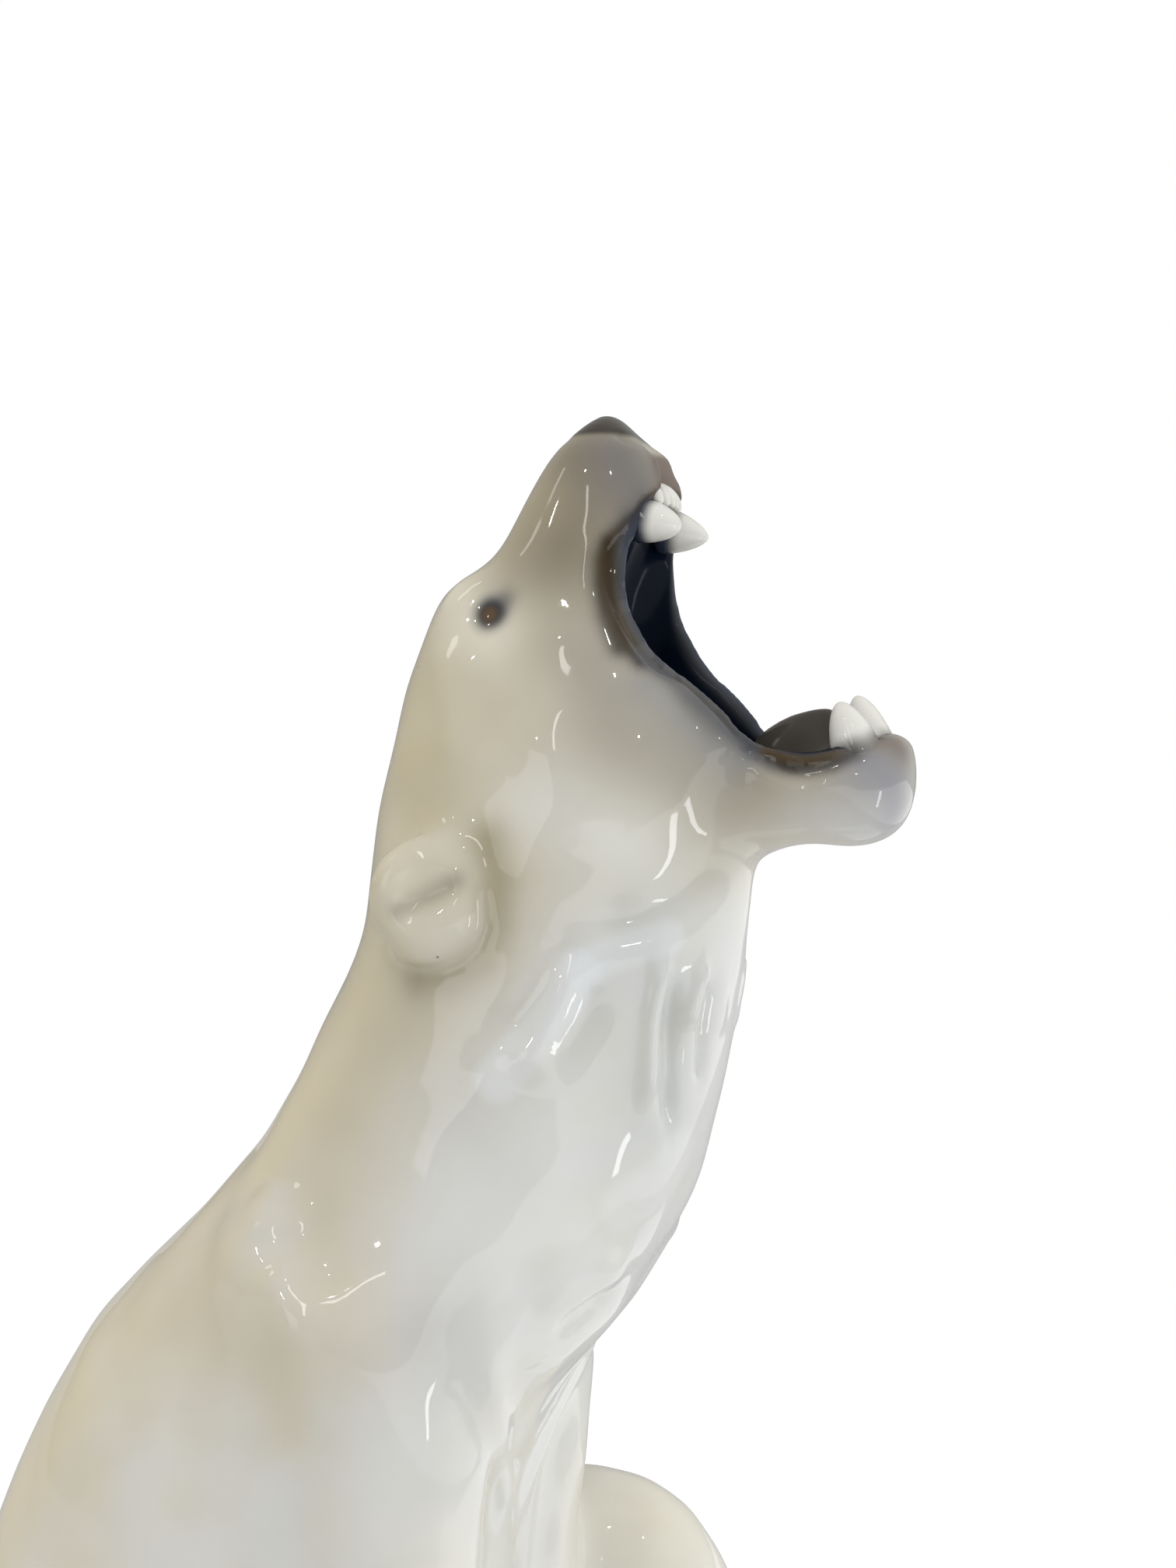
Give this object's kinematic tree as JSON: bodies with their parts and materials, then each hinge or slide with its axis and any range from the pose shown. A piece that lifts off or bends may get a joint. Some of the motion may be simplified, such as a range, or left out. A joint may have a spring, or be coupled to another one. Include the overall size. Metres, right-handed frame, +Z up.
{
  "type": "polar bear figurine",
  "caption": "Seated porcelain polar bear with its head thrown up and its mouth open, a hollow glazed ornament that stands on its flat foot and its paws.",
  "frame": {"origin": "on the surface that the figure stands on, in the middle of its box", "axes": "+Z up, the bear faces -Y and its right side is at -X; the figure is symmetric about X = 0"},
  "size_m": [0.1598, 0.2059, 0.32],
  "materials": {
    "porcelain": "clear glossy glaze over white porcelain with airbrushed beige and grey underglaze tints",
    "foot_ring": "unglazed fired porcelain, matt",
    "mouth_underglaze": "blue-black underglaze under a clear glossy glaze",
    "tongue_underglaze": "dark grey-brown underglaze under a clear glossy glaze",
    "teeth": "ivory white under a clear glossy glaze"
  },
  "bodies": {
    "root": {"body_shell": "porcelain", "base_slab": "foot_ring", "head_shell": "porcelain", "lower_jaw": "porcelain", "mouth_lining": "mouth_underglaze", "tongue": "tongue_underglaze", "right_ear": "porcelain", "left_ear": "porcelain", "right_upper_canine": "teeth", "left_upper_canine": "teeth", "upper_incisors": "teeth", "right_lower_canine": "teeth", "left_lower_canine": "teeth", "right_foreleg": "porcelain", "left_foreleg": "porcelain", "right_hind_leg": "porcelain", "left_hind_leg": "porcelain", "right_hind_foot": "porcelain", "left_hind_foot": "porcelain", "tail": "porcelain"}
  },
  "joints": []
}
